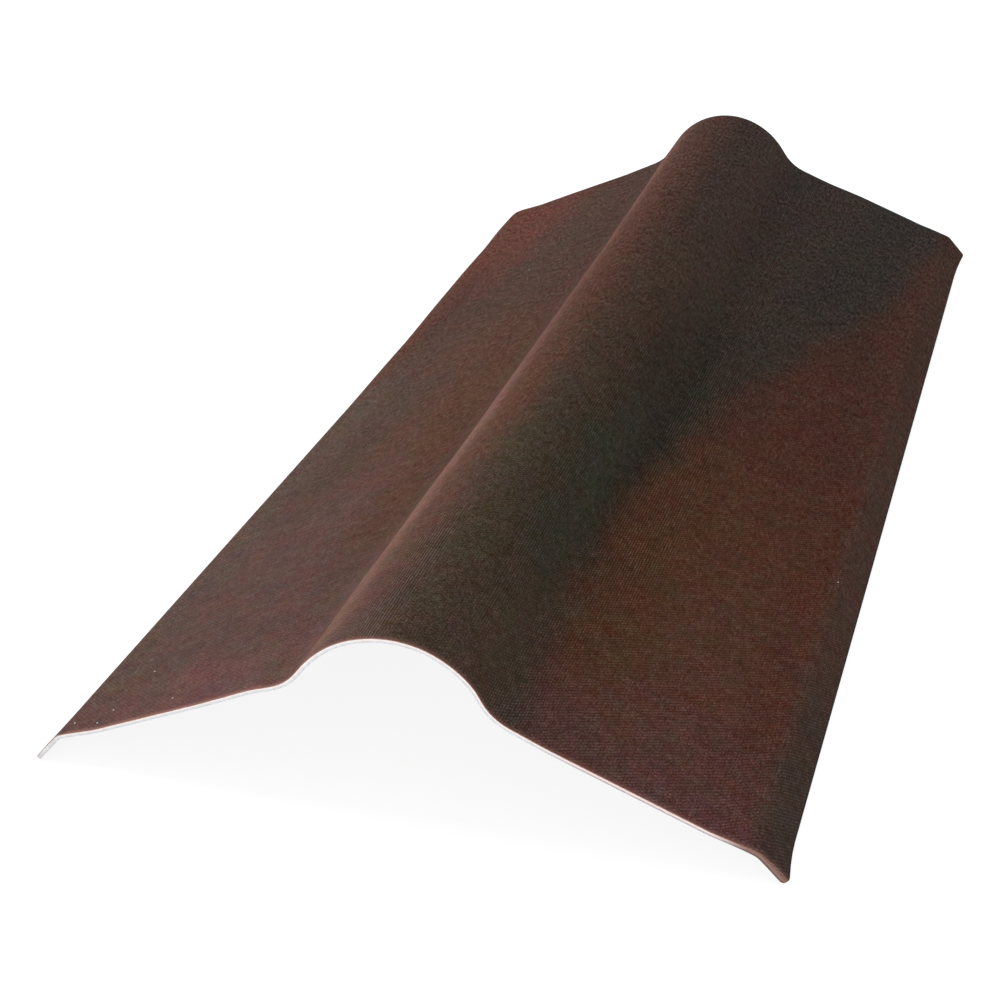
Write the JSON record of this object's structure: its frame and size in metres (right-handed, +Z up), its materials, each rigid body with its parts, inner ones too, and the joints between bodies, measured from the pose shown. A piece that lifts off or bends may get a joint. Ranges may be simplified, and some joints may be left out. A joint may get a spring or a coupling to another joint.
{
  "type": "roof ridge cap",
  "caption": "One-piece bitumen-fibre ridge cap: a half-round roll between two sloping wings with flattened hems and turned-down drip lips.",
  "frame": {"origin": "on the floor under the middle of the cap, which stands on the cut edges of its two lips", "axes": "+X across the ridge, +Y along the ridge, +Z up; the section is the same all along Y and mirrored about X = 0"},
  "size_m": [0.485, 1, 0.1317],
  "materials": {
    "bitumen_fibre": "satin"
  },
  "bodies": {
    "root": {"ridge_cap": "bitumen_fibre"}
  },
  "joints": []
}
